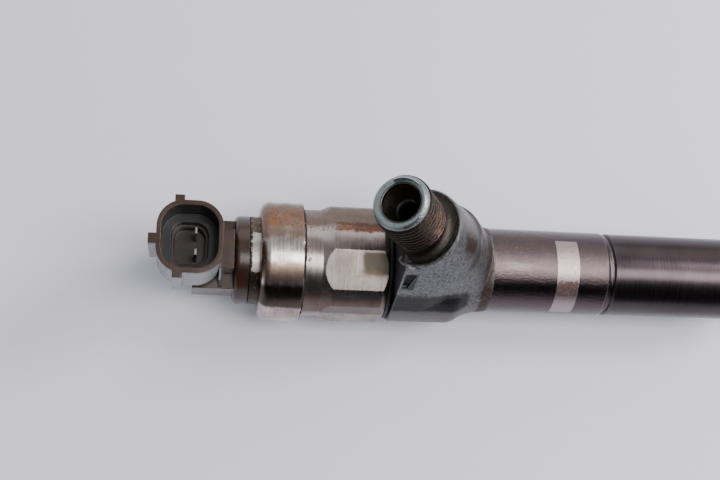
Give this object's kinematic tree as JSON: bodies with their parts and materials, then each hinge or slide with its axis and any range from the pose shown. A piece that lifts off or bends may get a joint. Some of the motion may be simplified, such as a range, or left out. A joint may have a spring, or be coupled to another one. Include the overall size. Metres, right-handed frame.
{
  "type": "fuel injector",
  "caption": "Common-rail diesel injector: solenoid valve with plug socket, hexagon nut, forged body with leaning threaded inlet, round barrel, nozzle nut and needle nozzle.",
  "frame": {"origin": "centre of the sealing washer's front face, where the injector seats in the cylinder head", "axes": "+X along the injector axis toward the nozzle tip, +Z the way the plug socket opens"},
  "size_m": [0.1744, 0.0296, 0.0576],
  "materials": {
    "connector_plastic": "moulded glossy glass-filled nylon, dark brown",
    "tinned_contact": "stamped and tin plated",
    "case_steel": "drawn and nickel plated, satin",
    "nut_steel": "turned and zinc plated, brushed on the flats",
    "core_iron": "pressed soft magnetic iron, ground",
    "bobbin_plastic": "moulded, matt black",
    "winding_copper": "enamelled copper wire",
    "armature_iron": "ground soft iron",
    "spring_steel": "cold drawn wire, bright",
    "ball_steel": "lapped bearing steel",
    "hard_steel": "hardened and ground",
    "seal_rubber": "moulded black rubber",
    "forged_steel": "forged steel, phosphated, with turned and oxide-blackened barrel",
    "nozzle_steel": "hardened and ground nozzle steel",
    "oxide_steel": "turned, black oxide",
    "washer_copper": "stamped soft copper"
  },
  "bodies": {
    "injector": {"connector_housing": "connector_plastic", "terminal_blades": "tinned_contact", "solenoid_case": "case_steel", "solenoid_nut": "nut_steel", "stator_core": "core_iron", "coil_bobbin": "bobbin_plastic", "coil_winding": "winding_copper", "armature_spring": "spring_steel", "armature_guide": "hard_steel", "lift_shim": "hard_steel", "valve_clamp_nut": "hard_steel", "valve_body": "hard_steel", "case_o_ring": "seal_rubber", "nut_o_ring": "seal_rubber", "injector_body": "forged_steel", "inlet_edge_filter": "hard_steel", "spring_shim": "hard_steel", "nozzle_spring": "spring_steel", "distance_piece": "hard_steel", "dowel_pins": "hard_steel", "nozzle_body": "nozzle_steel", "nozzle_nut": "oxide_steel", "sealing_washer": "washer_copper"},
    "armature_group": {"armature": "armature_iron", "valve_ball": "ball_steel"},
    "piston_group": {"command_piston": "hard_steel"},
    "needle_group": {"nozzle_needle": "nozzle_steel", "pressure_pin": "hard_steel"}
  },
  "joints": [
    {"name": "armature_lift", "type": "slide", "parent": "injector", "child": "armature_group", "axis": [-1, 0, 0], "range_m": [0, 0.00005], "stiffness_N_per_m": 20000, "springref_m": -0.001, "deforming": ["armature_spring"]},
    {"name": "needle_lift", "type": "slide", "parent": "injector", "child": "needle_group", "axis": [-1, 0, 0], "range_m": [0, 0.00025], "stiffness_N_per_m": 30000, "springref_m": -0.001, "deforming": ["nozzle_spring"]},
    {"name": "piston_lift", "type": "slide", "parent": "injector", "child": "piston_group", "axis": [-1, 0, 0], "range_m": [0, 0.00025]}
  ],
  "couplings": [
    {"joint": "piston_lift", "follows": "needle_lift", "ratio": 1}
  ]
}
